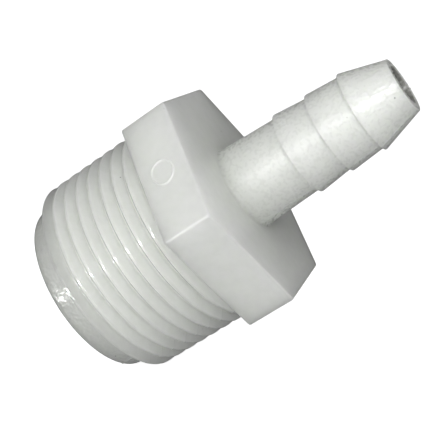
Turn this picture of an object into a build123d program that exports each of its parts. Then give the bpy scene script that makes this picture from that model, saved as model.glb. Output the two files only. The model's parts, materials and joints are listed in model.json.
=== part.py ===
"""Hull fitting: a parallel pipe-thread spigot, a hexagon collar and a barbed hose tail.

The real fitting is one hollow nylon moulding. It is drawn here as the sections that a person
would name, each a closed solid, stacked face to face along the flow axis. +Z runs from the
threaded end to the hose tip, and the origin is the centre of the threaded end's face.
"""
from build123d import *
from math import ceil, cos, pi, radians, sqrt, tan
import os

# ---- driving dimensions, millimetres and degrees ----
ACROSS_FLATS = 27.0          # spanner size of the hexagon
FIRST_CORNER = -90.0         # azimuth of one hexagon corner

THREAD_MAJOR_RADIUS = 13.05  # 3/4 in parallel pipe thread, at the low end of its tolerance
THREAD_PITCH = 25.4 / 14     # 14 threads to the inch
THREAD_DEPTH = 0.6403 * THREAD_PITCH
THREAD_FLANK = 27.5          # half of the 55 degree thread angle
CREST_AZIMUTH = -96.6        # where the crest passes through CREST_HEIGHT
CREST_HEIGHT = 8.73

LEAD_RADIUS = 11.3           # smooth ring ahead of the thread
SPIGOT_BORE_RADIUS = 8.9
TAIL_BORE_RADIUS = 2.5

# Stations along the axis, from the threaded end.
THREAD_START = 2.95
HEX_BOTTOM = 17.6
SPIGOT_BORE_FLOOR = 19.4
HEX_TOP = 23.9
FIRST_BARB = 31.9
SECOND_BARB = 36.36
NOSE_BARB = 40.84
TIP = 46.5

# Outside radii of the hose tail: at the foot of each slope, and at each barb's crest.
TAIL_ROOT_RADIUS = 5.3
TAIL_ROOT_FILLET = 0.4
SHANK_END_RADIUS = 4.96
FIRST_CREST_RADIUS = 5.36
FIRST_END_RADIUS = 4.87
SECOND_CREST_RADIUS = 5.24
SECOND_END_RADIUS = 4.87
NOSE_CREST_RADIUS = 5.2
TIP_RADIUS = 3.5

EDGE_BREAK = 0.25            # small chamfer on outside edges
SEAT_RADIUS = 13.1           # inside edge of the hexagon's seating face, just clear of the thread
BORE_CONE_HEIGHT = 1.6       # cone from the spigot bore's floor to the tail bore
MARK_RADIUS = 1.53           # plain raised ring on one flat
MARK_WIDTH = 0.2
MARK_HEIGHT = 0.08
MARK_Z = 20.6
MARK_AZIMUTH = FIRST_CORNER - 30.0


def ring_section(points):
    """Solid of revolution about Z from (radius, height) points."""
    outline = Polyline([(radius, 0, height) for radius, height in points], close=True)
    return revolve(make_face(outline), axis=Axis.Z)


def lead_ring():
    """Smooth ring with a small chamfer round its leading edge."""
    return ring_section([
        (SPIGOT_BORE_RADIUS, 0),
        (LEAD_RADIUS - EDGE_BREAK, 0),
        (LEAD_RADIUS, EDGE_BREAK),
        (LEAD_RADIUS, THREAD_START),
        (SPIGOT_BORE_RADIUS, THREAD_START),
    ])


def thread_outline():
    """Corners of one pitch of the thread as (radius, height): root, flank, crest."""
    minor_radius = THREAD_MAJOR_RADIUS - THREAD_DEPTH
    flank_height = THREAD_DEPTH * tan(radians(THREAD_FLANK))
    flat_height = THREAD_PITCH / 2 - flank_height
    return [
        (minor_radius, 0),
        (minor_radius, flat_height),
        (THREAD_MAJOR_RADIUS, flat_height + flank_height),
        (THREAD_MAJOR_RADIUS, THREAD_PITCH - flank_height),
    ]


def screw_end(outline, base):
    """The two faces that close the screw one turn at a time: an upright step and a winding floor."""
    minor_radius = outline[0][0]
    top = base + THREAD_PITCH
    step = [(0, 0, base)]
    step += [(radius, 0, base + height) for radius, height in outline]
    step += [(minor_radius, 0, top), (0, 0, top)]
    rim = Edge.make_helix(THREAD_PITCH, THREAD_PITCH, minor_radius, center=(0, 0, base))
    axis_line = Edge.make_line((0, 0, base), (0, 0, top))
    return [Face(Wire(Polyline(step, close=True))), Face.make_surface_from_curves(axis_line, rim)]


def long_screw(turns):
    """Right-hand screw of whole turns from height 0, each strip ruled between two helices."""
    outline = thread_outline()
    coils = [
        [
            Edge.make_helix(THREAD_PITCH, THREAD_PITCH, radius, center=(0, 0, height + turn * THREAD_PITCH))
            for radius, height in outline
        ]
        for turn in range(turns + 1)
    ]
    strips = []
    for coil, next_coil in zip(coils[:-1], coils[1:]):
        edges = coil + [next_coil[0]]
        strips += [Face.make_surface_from_curves(low, high) for low, high in zip(edges[:-1], edges[1:])]
    ends = screw_end(outline, 0) + screw_end(outline, turns * THREAD_PITCH)
    return Solid(Shell(strips + ends))


def threaded_spigot():
    """Hollow screw cut square at both ends, with a plain top that reaches into the hexagon."""
    length = HEX_BOTTOM - THREAD_START
    screw = Part() + long_screw(ceil(length / THREAD_PITCH) + 3)
    outline = thread_outline()
    crest_middle = (outline[2][1] + outline[3][1]) / 2
    turns_below = ceil((CREST_HEIGHT - THREAD_START - crest_middle) / THREAD_PITCH) + 1
    base = CREST_HEIGHT - crest_middle - turns_below * THREAD_PITCH
    screw = Pos(0, 0, base) * Rot(0, 0, CREST_AZIMUTH) * screw
    envelope = Cylinder(THREAD_MAJOR_RADIUS + 1, length, align=(Align.CENTER, Align.CENTER, Align.MIN))
    bore = Cylinder(SPIGOT_BORE_RADIUS, 3 * HEX_BOTTOM)
    top = ring_section([
        (SPIGOT_BORE_RADIUS, HEX_BOTTOM),
        (SEAT_RADIUS, HEX_BOTTOM),
        (SEAT_RADIUS, SPIGOT_BORE_FLOOR),
        (SPIGOT_BORE_RADIUS, SPIGOT_BORE_FLOOR),
    ])
    return (screw & Pos(0, 0, THREAD_START) * envelope) - bore + top


def hex_collar():
    """Hexagon with a plain raised ring on one flat, a socket below and the passage narrowing above."""
    corner_radius = ACROSS_FLATS / sqrt(3)
    height = HEX_TOP - HEX_BOTTOM
    outline = Rot(0, 0, FIRST_CORNER) * RegularPolygon(corner_radius, 6)
    prism = Pos(0, 0, HEX_BOTTOM) * extrude(outline, height)
    across_corners = ring_section([
        (0, HEX_BOTTOM),
        (corner_radius - EDGE_BREAK, HEX_BOTTOM),
        (corner_radius, HEX_BOTTOM + EDGE_BREAK),
        (corner_radius, HEX_TOP - EDGE_BREAK),
        (corner_radius - EDGE_BREAK, HEX_TOP),
        (0, HEX_TOP),
    ])
    inside = ring_section([
        (0, HEX_BOTTOM),
        (SEAT_RADIUS, HEX_BOTTOM),
        (SEAT_RADIUS, SPIGOT_BORE_FLOOR),
        (SPIGOT_BORE_RADIUS, SPIGOT_BORE_FLOOR),
        (TAIL_BORE_RADIUS, SPIGOT_BORE_FLOOR + BORE_CONE_HEIGHT),
        (TAIL_BORE_RADIUS, HEX_TOP),
        (0, HEX_TOP),
    ])
    mark = Cylinder(MARK_RADIUS, 2 * MARK_HEIGHT) - Cylinder(MARK_RADIUS - MARK_WIDTH, 2 * MARK_HEIGHT)
    place = Rot(0, 0, MARK_AZIMUTH) * Pos(ACROSS_FLATS / 2, 0, MARK_Z) * Rot(0, 90, 0)
    return (prism & across_corners) - inside + place * mark


def tail_shank():
    """Plain tube from the hexagon to the first barb, flared at its root."""
    flare = TAIL_ROOT_FILLET
    root = (TAIL_ROOT_RADIUS + flare, 0, HEX_TOP)
    middle_offset = flare * (1 - cos(pi / 4))
    middle = (TAIL_ROOT_RADIUS + middle_offset, 0, HEX_TOP + middle_offset)
    foot = (TAIL_ROOT_RADIUS, 0, HEX_TOP + flare)
    outline = [
        Line((TAIL_BORE_RADIUS, 0, HEX_TOP), root),
        ThreePointArc(root, middle, foot),
        Line(foot, (SHANK_END_RADIUS, 0, FIRST_BARB)),
        Line((SHANK_END_RADIUS, 0, FIRST_BARB), (TAIL_BORE_RADIUS, 0, FIRST_BARB)),
        Line((TAIL_BORE_RADIUS, 0, FIRST_BARB), (TAIL_BORE_RADIUS, 0, HEX_TOP)),
    ]
    return revolve(make_face(Wire(outline)), axis=Axis.Z)


def barb(bottom, top, crest_radius, end_radius):
    """Tube whose outside falls in a straight slope from its crest at the bottom to its top."""
    return ring_section([
        (TAIL_BORE_RADIUS, bottom),
        (crest_radius, bottom),
        (end_radius, top),
        (TAIL_BORE_RADIUS, top),
    ])


sections = {
    "lead_ring": lead_ring(),
    "threaded_spigot": threaded_spigot(),
    "hex_collar": hex_collar(),
    "tail_shank": tail_shank(),
    "first_barb": barb(FIRST_BARB, SECOND_BARB, FIRST_CREST_RADIUS, FIRST_END_RADIUS),
    "second_barb": barb(SECOND_BARB, NOSE_BARB, SECOND_CREST_RADIUS, SECOND_END_RADIUS),
    "nose_barb": barb(NOSE_BARB, TIP, NOSE_CREST_RADIUS, TIP_RADIUS),
}

os.makedirs("parts", exist_ok=True)
for name, section in sections.items():
    export_step(section, f"parts/{name}.step")
    print(name, round(section.volume, 2), section.is_valid)
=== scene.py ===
"""Looks of the hull fitting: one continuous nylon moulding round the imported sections."""
import json
import math

import bmesh
import bpy
import numpy as np
from mathutils import Matrix, Vector


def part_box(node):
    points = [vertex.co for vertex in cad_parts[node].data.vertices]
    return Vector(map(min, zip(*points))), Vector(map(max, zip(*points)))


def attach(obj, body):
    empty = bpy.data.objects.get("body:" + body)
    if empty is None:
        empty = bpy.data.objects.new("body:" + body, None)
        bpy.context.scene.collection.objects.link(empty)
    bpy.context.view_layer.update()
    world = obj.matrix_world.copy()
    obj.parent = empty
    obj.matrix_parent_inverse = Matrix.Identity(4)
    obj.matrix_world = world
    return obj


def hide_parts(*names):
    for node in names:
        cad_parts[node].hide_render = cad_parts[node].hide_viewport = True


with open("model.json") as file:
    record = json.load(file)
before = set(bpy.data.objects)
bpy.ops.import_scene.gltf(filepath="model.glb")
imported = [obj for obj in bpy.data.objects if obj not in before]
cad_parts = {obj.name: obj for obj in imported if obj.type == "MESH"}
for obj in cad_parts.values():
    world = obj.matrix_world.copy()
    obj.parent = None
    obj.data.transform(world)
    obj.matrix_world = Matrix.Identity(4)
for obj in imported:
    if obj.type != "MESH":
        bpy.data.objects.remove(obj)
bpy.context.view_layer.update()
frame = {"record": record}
MM = 0.001

# ---- sizes read from the frame, metres ----
SECTIONS = (
    "lead_ring", "threaded_spigot", "hex_collar", "tail_shank", "first_barb", "second_barb", "nose_barb",
)
BOX = {name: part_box(name) for name in SECTIONS}
MOUNTS = {mount["name"]: mount for mount in frame["record"]["mounts"]}

THREAD_START = BOX["threaded_spigot"][0][2]
HEX_BOTTOM = BOX["hex_collar"][0][2]
HEX_TOP = BOX["hex_collar"][1][2]
FIRST_BARB = BOX["first_barb"][0][2]
SECOND_BARB = BOX["second_barb"][0][2]
NOSE_BARB = BOX["nose_barb"][0][2]
TIP = BOX["nose_barb"][1][2]

LEAD_RADIUS = BOX["lead_ring"][1][0]
THREAD_RADIUS = MOUNTS["pipe_thread"]["dims"]["r_mm"] * MM
APOTHEM = BOX["hex_collar"][1][0]
FIRST_CREST = BOX["first_barb"][1][0]
SECOND_CREST = BOX["second_barb"][1][0]
NOSE_CREST = BOX["nose_barb"][1][0]
TAIL_BORE = MOUNTS["tail_bore"]["dims"]["r_mm"] * MM
SPIGOT_BORE = MOUNTS["spigot_bore"]["dims"]["r_mm"] * MM
BORE_FLOOR = MOUNTS["spigot_bore"]["dims"]["length_mm"] * MM
BORE_THROAT = TIP - MOUNTS["tail_bore"]["dims"]["length_mm"] * MM

# ---- sizes of the solids that the frame doesn't give, metres and degrees ----
TAIL_ROOT = 5.3 * MM
SHANK_END = 4.96 * MM
BARB_END = 4.87 * MM
TIP_RADIUS = 3.5 * MM
PITCH = 25.4 / 14 * MM
THREAD_DEPTH = 0.6403 * PITCH
FLANK = math.radians(27.5)
CREST_AZIMUTH = -96.6        # the crest passes through CREST_HEIGHT here
CREST_HEIGHT = 8.73 * MM
CORNER_AZIMUTH = -90.0

# ---- sizes that only the looks need, metres and degrees ----
THREAD_ROUNDING = 0.06 * MM
ROWS_PER_PITCH = 34
PARTING_AZIMUTHS = (-30.0, 150.0)
FLASH_HEIGHT = 0.09 * MM
FLASH_WIDTH = 0.09 * MM
EDGE = 0.28 * MM             # rounded rims of the lead ring and the hexagon
SMALL_EDGE = 0.1 * MM        # the step up from the lead ring to the thread
CORNER_EDGE = 0.45 * MM      # upright corners of the hexagon
CORNER_COLUMNS = (0.12, 0.25, 0.38, 0.6, 1.2)
ROOT_FILLET = 0.45 * MM
BARB_EDGE = 0.05 * MM
LIP = 0.06 * MM              # edges of the tip
RAGGED_RIM = 0.09 * MM       # flash left round the tip's opening
MARK_AZIMUTH = -120.0
MARK_HEIGHT = 20.6 * MM
MARK_RADIUS = 1.43 * MM      # to the middle of the raised line
MARK_LINE = 0.1 * MM
MARK_RELIEF = 0.14 * MM
MARK_PATCH = MARK_RADIUS + 0.6 * MM
MARK_CUTS = 8

# ---- nylon: linear colours, and lengths in metres ----
RESIN_DARK = (0.84, 0.86, 0.82, 1)
RESIN_PALE = (0.87, 0.89, 0.85, 1)
CLOUD_SCALE = 900.0
# dark colour of the specks, and of the shade painted inside the tail's bore
SPECK_AND_BORE_SHADE = (0.12, 0.12, 0.1, 1)
SPECK_SCALE = 330.0
# how far the tail's bore is darkened toward that colour, as painted shade
PAINTED_BORE_SHADE = 0.85
REFRACTION = 1.53
SCATTER_LOW = 10.5 * MM      # how far light travels inside, up to the hexagon's top
SCATTER_HIGH = 2.5 * MM      # the same, in the nose
SCATTER_TINT = (1.0, 0.95, 1.07)
GRAIN_SCALE = 2600.0
GRAIN_DEPTH = 0.06 * MM
FLAT_GRAIN = 0.05            # share of the tail's grain on the thread and hexagon
RING_GRAIN = 0.9             # share of it on the lead ring
GLOSSY = 0.1
SATIN = 0.34
SPARKLE_START = 0.57         # levels of the grain between which satin turns glossy
SPARKLE_FULL = 0.61

# ---- studio: azimuth and elevation of each light in degrees, then its strength ----
SOFT_LIGHTS = (
    (-111, -15, 0.7),
    (-70, -15, 0.42),
    (-111, 20, 0.68),
    (-70, 20, 0.72),
    (-150, 20, 0.42),
    (-30, 20, 0.05),
    (-111, 55, 0.5),
    (-30, 55, 0.03),
    (-90, 90, 0.22),
)
THREAD_GLINTS = ((-102.4, -27.5, 0.4), (-102.4, -24.0, 0.4))
TAIL_GLINT_AZIMUTHS = (-111, -102, -93)
TAIL_GLINTS = ((-12, 0.2), (1, 0.13), (24, 0.5))
BACK_LIGHTS = ((50, -10, 0.15), (130, -10, 0.15))
SOFT_SPREAD = 40
GLINT_SPREAD = 1.5
ROOM = 0.06

# ---- camera: the direction that it sees from and its roll in degrees, its place, its lens ----
CAMERA_AZIMUTH = -89.66
CAMERA_ELEVATION = 18.52
CAMERA_ROLL = 56.45
CAMERA_PLACE = Vector((-3.06, -121.05, 61.97)) * MM
SENSOR = 36.0
LENS = 85.64
SHIFT_RIGHT = 0.0226
SHIFT_UP = -0.0905


def column_azimuths():
    """Three-degree columns, with closer ones round each corner of the hexagon."""
    azimuths = set(float(a) for a in range(-180, 180, 3))
    for corner in range(6):
        middle = (CORNER_AZIMUTH + 60.0 * corner + 180.0) % 360.0 - 180.0
        for offset in CORNER_COLUMNS:
            azimuths.update((middle - offset, middle + offset))
    return np.array(sorted(azimuths))


AZIMUTH = column_azimuths()
ANGLE = np.radians(AZIMUTH)


def around(radius):
    """The same radius in every column."""
    return np.full(len(ANGLE), float(radius))


def hexagon(inset=0.0):
    """Radius of the hexagon in every column, drawn in by inset, its corners rounded."""
    flat = APOTHEM - inset
    from_flat = (ANGLE - math.radians(CORNER_AZIMUTH)) % (math.pi / 3) - math.pi / 6
    radius = flat / np.cos(from_flat)
    centre = (flat - CORNER_EDGE) / math.cos(math.pi / 6)
    from_corner = math.pi / 6 - np.abs(from_flat)
    reach = CORNER_EDGE ** 2 - (centre * np.sin(from_corner)) ** 2
    arc = centre * np.cos(from_corner) + np.sqrt(np.maximum(reach, 0.0))
    edge_of_arc = np.arctan2(CORNER_EDGE * 0.5, centre + CORNER_EDGE * math.cos(math.pi / 6))
    return np.where(from_corner < edge_of_arc, arc, radius)


def smooth_lower(first, second, blend):
    """The lower of two values, with the corner between them rounded off."""
    share = np.maximum(blend - np.abs(first - second), 0) / blend
    return np.minimum(first, second) - share ** 2 * blend / 4


def thread(height):
    """Radius of the 55 degree thread in every column at one height, its corners a little rounded."""
    climb = (AZIMUTH - CREST_AZIMUTH) / 360.0 * PITCH
    phase = (height - CREST_HEIGHT - climb) / PITCH
    from_crest = np.abs(phase - np.round(phase)) * PITCH
    root_radius = THREAD_RADIUS - THREAD_DEPTH
    middle = THREAD_RADIUS - THREAD_DEPTH / 2
    straight = middle + (PITCH / 4 - from_crest) / math.tan(FLANK)
    below_crest = smooth_lower(straight, THREAD_RADIUS, THREAD_ROUNDING)
    return -smooth_lower(-below_crest, -root_radius, 7 * THREAD_ROUNDING)


def flash(radius):
    """Height of the parting-line ridge in every column of a surface at this radius."""
    ridge = np.zeros(len(ANGLE))
    for parting in PARTING_AZIMUTHS:
        off = (AZIMUTH - parting + 180.0) % 360.0 - 180.0
        ridge += np.exp(-((np.radians(off) * radius / FLASH_WIDTH) ** 2))
    return FLASH_HEIGHT * ridge


class Profile:
    """Rings of points, from the threaded end up the outside and back down the bore."""

    def __init__(self):
        self.radii = []
        self.heights = []

    def ring(self, radius, height):
        self.radii.append(np.zeros(len(ANGLE)) + radius)
        self.heights.append(np.zeros(len(ANGLE)) + height)

    def run(self, start_radius, start_height, end_radius, end_height, steps, ridged=True):
        """Straight run of rings, without its first ring."""
        for step in range(1, steps + 1):
            share = step / steps
            radius = start_radius + (end_radius - start_radius) * share
            height = start_height + (end_height - start_height) * share
            self.ring(radius + (flash(radius) if ridged else 0), height)

    def bend(self, centre_radius, centre_height, size, start, end, steps=4, ridged=True):
        """Quarter-round of rings about a centre, from one slope angle to another."""
        for step in range(steps + 1):
            turn = math.radians(start + (end - start) * step / steps)
            radius = around(centre_radius + size * math.cos(turn))
            height = centre_height + size * math.sin(turn)
            self.ring(radius + (flash(float(radius[0])) if ridged else 0), height)


def lead_and_thread(profile):
    """Smooth ring, the step up to the thread, and the thread to the underside of the hexagon."""
    profile.bend(LEAD_RADIUS - EDGE, EDGE, EDGE, -90, 0)
    profile.run(LEAD_RADIUS, EDGE, LEAD_RADIUS, THREAD_START - SMALL_EDGE, 8)
    start_radius = thread(THREAD_START + SMALL_EDGE)
    for share in (0.0, 0.1, 0.5, 0.85, 1.0):
        radius = LEAD_RADIUS + (start_radius - LEAD_RADIUS) * share
        profile.ring(radius + flash(LEAD_RADIUS), THREAD_START + SMALL_EDGE * share ** 4)
    steps = round((HEX_BOTTOM - THREAD_START) / PITCH * ROWS_PER_PITCH)
    for step in range(1, steps):
        height = THREAD_START + SMALL_EDGE + (HEX_BOTTOM - THREAD_START - SMALL_EDGE) * step / steps
        profile.ring(thread(height) + flash(THREAD_RADIUS) * 0.5, height)


def hex_part(profile):
    """Underside, rounded rim, flats, rounded rim and top face of the hexagon."""
    top_thread = thread(HEX_BOTTOM)
    for share in (0.0, 0.08, 0.3, 0.7, 1.0):
        radius = top_thread + (hexagon(EDGE * 1.4) - top_thread) * share
        profile.ring(radius, HEX_BOTTOM)
    for turn in np.radians((-90, -67.5, -45, -22.5, 0)):
        profile.ring(hexagon(EDGE * (1 - math.cos(turn))), HEX_BOTTOM + EDGE * (1 + math.sin(turn)))
    steps = 20
    low, high = HEX_BOTTOM + EDGE, HEX_TOP - EDGE
    for step in range(steps + 1):
        share = 0.5 - 0.5 * math.cos(math.pi * (0.04 + 0.92 * step / steps))
        profile.ring(hexagon(), low + (high - low) * share)
    for turn in np.radians((0, 22.5, 45, 67.5, 90)):
        profile.ring(hexagon(EDGE * (1 - math.cos(turn))), HEX_TOP - EDGE * (1 - math.sin(turn)))


def tail(profile):
    """Top face into the root fillet, then the shank, the barbs and the lead-in cone."""
    foot = around(TAIL_ROOT + ROOT_FILLET)
    rim = hexagon(EDGE * 1.3)
    for share in (0.0, 0.1, 0.25, 0.45, 0.65, 0.85, 1.0):
        profile.ring(rim + (foot - rim) * share, HEX_TOP)
    for turn in np.radians((-67.5, -45, -22.5, 0)):
        radius = TAIL_ROOT + ROOT_FILLET * (1 - math.cos(turn))
        profile.ring(radius + flash(TAIL_ROOT), HEX_TOP + ROOT_FILLET * (1 + math.sin(turn)))
    profile.run(TAIL_ROOT, HEX_TOP + ROOT_FILLET, SHANK_END, FIRST_BARB - BARB_EDGE * 1.6, 16)
    slopes = (
        (FIRST_BARB, FIRST_CREST, SECOND_BARB, BARB_END),
        (SECOND_BARB, SECOND_CREST, NOSE_BARB, BARB_END),
        (NOSE_BARB, NOSE_CREST, TIP, TIP_RADIUS),
    )
    for bottom, crest, top, end in slopes:
        barb_slope(profile, bottom, crest, top, end)


def barb_slope(profile, bottom, crest, top, end):
    """Step out to a rounded crest, then the long slope to the next barb or the tip."""
    last = float(profile.radii[-1].min())
    profile.run(last, bottom - BARB_EDGE, crest - BARB_EDGE, bottom, 4)
    profile.bend(crest - BARB_EDGE, bottom + BARB_EDGE, BARB_EDGE, -80, 0, 4)
    profile.run(crest, bottom + BARB_EDGE, crest, bottom + 2 * BARB_EDGE, 1)
    profile.run(crest, bottom + 2 * BARB_EDGE, end, top - BARB_EDGE * 1.6, 12)


def bore(profile):
    """Tip rim, the tail bore, the cone in the hexagon and the spigot bore."""
    profile.bend(TIP_RADIUS - LIP, TIP - LIP, LIP, 0, 80, 3)
    profile.ring(TIP_RADIUS - 1.5 * LIP, TIP)
    middle = (TIP_RADIUS + TAIL_BORE) / 2
    profile.ring(middle, TIP)
    ragged = RAGGED_RIM * np.maximum(np.random.default_rng(4).normal(0, 1, len(ANGLE)), 0)
    profile.ring(TAIL_BORE + 5 * LIP, TIP + ragged * 0.5)
    profile.ring(TAIL_BORE + 2 * LIP, TIP + ragged)
    profile.ring(TAIL_BORE, TIP - LIP)
    profile.run(TAIL_BORE, TIP - LIP, TAIL_BORE, BORE_THROAT, 14, ridged=False)
    profile.run(TAIL_BORE, BORE_THROAT, SPIGOT_BORE, BORE_FLOOR, 5, ridged=False)
    profile.run(SPIGOT_BORE, BORE_FLOOR, SPIGOT_BORE, EDGE * 0.5, 12, ridged=False)
    profile.run(SPIGOT_BORE, EDGE * 0.5, SPIGOT_BORE + EDGE * 0.5, 0.0, 2, ridged=False)


def skin(profile):
    """Closed mesh over the rings of a profile that ends beside its start."""
    radii = np.array(profile.radii)
    heights = np.array(profile.heights)
    rows, columns = radii.shape
    points = np.stack([radii * np.cos(ANGLE), radii * np.sin(ANGLE), heights], -1).reshape(-1, 3)
    faces = []
    for row in range(rows):
        after = (row + 1) % rows
        for column in range(columns):
            beside = (column + 1) % columns
            faces.append((row * columns + column, row * columns + beside,
                          after * columns + beside, after * columns + column))
    mesh = bpy.data.meshes.new("nylon_body")
    mesh.from_pydata(points.tolist(), [], faces)
    mesh.update()
    return mesh


def raise_mark(work):
    """Finer mesh round the mark's place on its flat, then the plain raised ring."""
    azimuth = math.radians(MARK_AZIMUTH)
    outward = Vector((math.cos(azimuth), math.sin(azimuth), 0))
    centre = outward * APOTHEM + Vector((0, 0, MARK_HEIGHT))
    patch = [
        face for face in work.faces
        if (face.calc_center_median() - centre).length < MARK_PATCH
        and face.normal.dot(outward) > 0.999
    ]
    edges = set(edge for face in patch for edge in face.edges)
    bmesh.ops.subdivide_edges(work, edges=list(edges), cuts=MARK_CUTS, use_grid_fill=True)
    for vertex in work.verts:
        offset = vertex.co - centre
        if abs(offset.dot(outward)) < 0.01 * MM and offset.length < MARK_PATCH:
            from_line = (offset.length - MARK_RADIUS) / MARK_LINE
            vertex.co += outward * MARK_RELIEF * math.exp(-from_line ** 2)


def nylon_body():
    """The whole moulding as one mesh, because light passes through it unbroken."""
    profile = Profile()
    lead_and_thread(profile)
    hex_part(profile)
    tail(profile)
    bore(profile)
    mesh = skin(profile)
    work = bmesh.new()
    work.from_mesh(mesh)
    bmesh.ops.recalc_face_normals(work, faces=work.faces)
    raise_mark(work)
    bmesh.ops.recalc_face_normals(work, faces=work.faces)
    work.to_mesh(mesh)
    work.free()
    mesh.polygons.foreach_set("use_smooth", [True] * len(mesh.polygons))
    body = bpy.data.objects.new("nylon_body", mesh)
    bpy.context.scene.collection.objects.link(body)
    return body


# ---- materials ----

class Shading:
    """Small helper that adds shader nodes to one material and joins them up."""

    def __init__(self, name):
        self.material = bpy.data.materials.new(name)
        self.material.use_nodes = True
        self.nodes = self.material.node_tree.nodes
        self.shader = self.nodes["Principled BSDF"]

    def add(self, kind, inputs, output=0, **settings):
        """One node: settings are its options, inputs its values or the sockets that feed it."""
        node = self.nodes.new(kind)
        for option, value in settings.items():
            setattr(node, option, value)
        for socket, value in inputs.items():
            if isinstance(value, bpy.types.NodeSocket):
                self.material.node_tree.links.new(value, node.inputs[socket])
            else:
                node.inputs[socket].default_value = value
        return node.outputs[output]

    def step(self, value, low, high, at_low, at_high):
        """A value that goes from one level to another as the first one passes from low to high."""
        limits = {"Value": value, "From Min": low, "From Max": high, "To Min": at_low, "To Max": at_high}
        return self.add("ShaderNodeMapRange", limits)

    def product(self, first, second):
        return self.add("ShaderNodeMath", {0: first, 1: second}, operation="MULTIPLY")

    def mix(self, share, first, second):
        return self.add("ShaderNodeMix", {0: share, 6: first, 7: second}, output=2, data_type="RGBA")

    def feed(self, socket, source):
        self.material.node_tree.links.new(source, self.shader.inputs[socket])


def resin(shading, place, from_axis):
    """Milky colour with faint clouds and a few dark specks, and painted shade darkening the tail's bore.
    """
    cloud = shading.add("ShaderNodeTexNoise", {"Vector": place, "Scale": CLOUD_SCALE, "Detail": 5.0})
    clouded = shading.step(cloud, 0.35, 0.65, 0.0, 1.0)
    colour = shading.mix(clouded, RESIN_DARK, RESIN_PALE)
    cell = shading.add("ShaderNodeTexVoronoi", {"Vector": place, "Scale": SPECK_SCALE})
    speck = shading.step(cell, 0.02, 0.035, 0.75, 0.0)
    specked = shading.mix(speck, colour, SPECK_AND_BORE_SHADE)
    # painted shade: the tail's bore is darkened in place of the light that does not reach into it
    inside = shading.step(from_axis, TAIL_BORE + 0.02 * MM, TAIL_BORE + 0.1 * MM, PAINTED_BORE_SHADE, 0.0)
    shading.feed("Base Color", shading.mix(inside, specked, SPECK_AND_BORE_SHADE))


def grain_relief(shading, grain, height):
    """Spark texture of the mould: full on the tail, less on the lead ring, faint between them."""
    on_tail = shading.step(height, HEX_TOP + 0.1 * MM, HEX_TOP + 0.8 * MM, FLAT_GRAIN, 1.0)
    on_ring = shading.step(height, THREAD_START - 0.2 * MM, THREAD_START, RING_GRAIN, 0.0)
    amount = shading.add("ShaderNodeMath", {0: on_tail, 1: on_ring}, operation="ADD")
    relief = {"Height": shading.product(grain, amount), "Strength": 1.0, "Distance": GRAIN_DEPTH}
    shading.feed("Normal", shading.add("ShaderNodeBump", relief))


def gloss(shading, grain, height):
    """Glossy ring and thread, satin hexagon, and a satin tail with glossy peaks to its grain."""
    below = shading.step(height, HEX_BOTTOM - EDGE, HEX_BOTTOM, GLOSSY, SATIN)
    sparkle = shading.step(grain, SPARKLE_START, SPARKLE_FULL, SATIN, GLOSSY)
    above = shading.step(height, HEX_TOP, HEX_TOP + EDGE, SATIN, sparkle)
    shading.feed("Roughness", shading.add("ShaderNodeMath", {0: below, 1: above}, operation="MINIMUM"))


def nylon():
    """Milky undyed nylon, which light enters and scatters in."""
    shading = Shading("natural_nylon")
    place = shading.add("ShaderNodeTexCoord", {}, output="Object")
    height = shading.add("ShaderNodeSeparateXYZ", {"Vector": place}, output="Z")
    across = shading.add("ShaderNodeVectorMath", {0: place, 1: (1, 1, 0)}, operation="MULTIPLY")
    from_axis = shading.add("ShaderNodeVectorMath", {0: across}, output="Value", operation="LENGTH")
    grain = shading.add("ShaderNodeTexNoise", {"Vector": place, "Scale": GRAIN_SCALE, "Detail": 0.0})
    resin(shading, place, from_axis)
    grain_relief(shading, grain, height)
    gloss(shading, grain, height)
    shading.feed("Subsurface Scale", shading.step(height, HEX_TOP, NOSE_BARB, SCATTER_LOW, SCATTER_HIGH))
    inputs = shading.shader.inputs
    inputs["IOR"].default_value = REFRACTION
    inputs["Subsurface Weight"].default_value = 1.0
    inputs["Subsurface Radius"].default_value = SCATTER_TINT
    return shading.material


def paper():
    """Pale studio floor with a faint unevenness."""
    shading = Shading("pale_floor")
    place = shading.add("ShaderNodeTexCoord", {}, output="Object")
    cloud = shading.add("ShaderNodeTexNoise", {"Vector": place, "Scale": 3.0})
    shading.feed("Base Color", shading.mix(cloud, (0.88, 0.88, 0.88, 1), (0.92, 0.92, 0.92, 1)))
    shading.shader.inputs["Roughness"].default_value = 0.9
    shading.shader.inputs["Emission Color"].default_value = (1, 1, 1, 1)
    shading.shader.inputs["Emission Strength"].default_value = 0.8
    return shading.material


# ---- studio ----

def floor():
    """Level floor that the fitting stands on, too wide for its edge to show."""
    mesh = bpy.data.meshes.new("floor")
    reach = 6.0
    corners = [(-reach, -reach, 0), (reach, -reach, 0), (reach, reach, 0), (-reach, reach, 0)]
    mesh.from_pydata(corners, [], [(0, 1, 2, 3)])
    piece = bpy.data.objects.new("floor", mesh)
    bpy.context.scene.collection.objects.link(piece)
    piece.data.materials.append(paper())
    piece.visible_diffuse = False
    piece.visible_glossy = False
    piece.visible_transmission = False
    piece.visible_shadow = False
    return piece


def towards(azimuth, elevation):
    """Unit vector that points from the fitting in a direction given in degrees."""
    turn, climb = math.radians(azimuth), math.radians(elevation)
    return Vector((math.cos(climb) * math.cos(turn), math.cos(climb) * math.sin(turn), math.sin(climb)))


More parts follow.
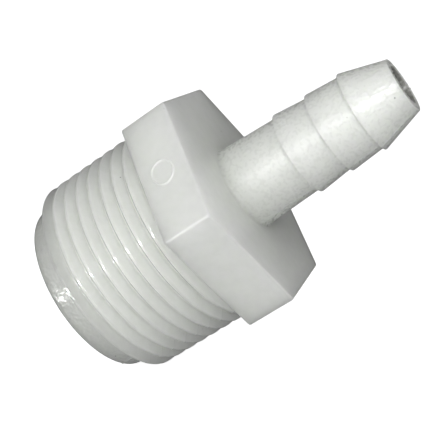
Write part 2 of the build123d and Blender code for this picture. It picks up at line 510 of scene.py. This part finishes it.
def sun(name, azimuth, elevation, spread, strength):
    """Distant light placed by its direction, with the width that it shows in the sky in degrees."""
    data = bpy.data.lights.new(name, "SUN")
    data.angle = math.radians(spread)
    data.energy = strength
    piece = bpy.data.objects.new(name, data)
    bpy.context.scene.collection.objects.link(piece)
    piece.rotation_euler = towards(azimuth, elevation).to_track_quat("Z", "Y").to_euler()
    return piece


def room():
    """Dim even light from all round."""
    world = bpy.data.worlds.new("room")
    bpy.context.scene.world = world
    world.use_nodes = True
    world.node_tree.nodes["Background"].inputs["Color"].default_value = (1, 1, 1, 1)
    world.node_tree.nodes["Background"].inputs["Strength"].default_value = ROOM


def soft_lights():
    """Broad soft light from the camera's side."""
    for number, (azimuth, elevation, strength) in enumerate(SOFT_LIGHTS):
        sun(f"soft_{number}", azimuth, elevation, SOFT_SPREAD, strength)


def glints():
    """Small lamps that only show as reflections on the thread's crests and the tail's grain."""
    lamps = list(THREAD_GLINTS)
    for elevation, strength in TAIL_GLINTS:
        lamps += [(azimuth, elevation, strength) for azimuth in TAIL_GLINT_AZIMUTHS]
    for number, (azimuth, elevation, strength) in enumerate(lamps):
        glint = sun(f"glint_{number}", azimuth, elevation, GLINT_SPREAD, strength)
        glint.visible_diffuse = False


def back_lights():
    """Faint light on the side that faces away from the camera, without reflections."""
    for number, (azimuth, elevation, strength) in enumerate(BACK_LIGHTS):
        fill = sun(f"back_{number}", azimuth, elevation, SOFT_SPREAD, strength)
        fill.visible_glossy = False


def camera():
    """Close view from the side and a little above, rolled so that the axis climbs to the right."""
    data = bpy.data.cameras.new("camera")
    piece = bpy.data.objects.new("camera", data)
    bpy.context.scene.collection.objects.link(piece)
    facing = towards(CAMERA_AZIMUTH, CAMERA_ELEVATION).to_track_quat("Z", "Y").to_matrix().to_4x4()
    roll = Matrix.Rotation(math.radians(CAMERA_ROLL), 4, "Z")
    piece.matrix_world = Matrix.Translation(CAMERA_PLACE) @ facing @ roll
    data.sensor_width = SENSOR
    data.lens = LENS
    data.shift_x = SHIFT_RIGHT
    data.shift_y = SHIFT_UP
    data.clip_start = 0.01
    data.clip_end = 50.0
    bpy.context.scene.camera = piece
    bpy.context.scene.view_settings.view_transform = "Standard"


body = nylon_body()
body.data.materials.append(nylon())
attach(body, "root")
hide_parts(*SECTIONS)
floor()
room()
soft_lights()
glints()
back_lights()
camera()
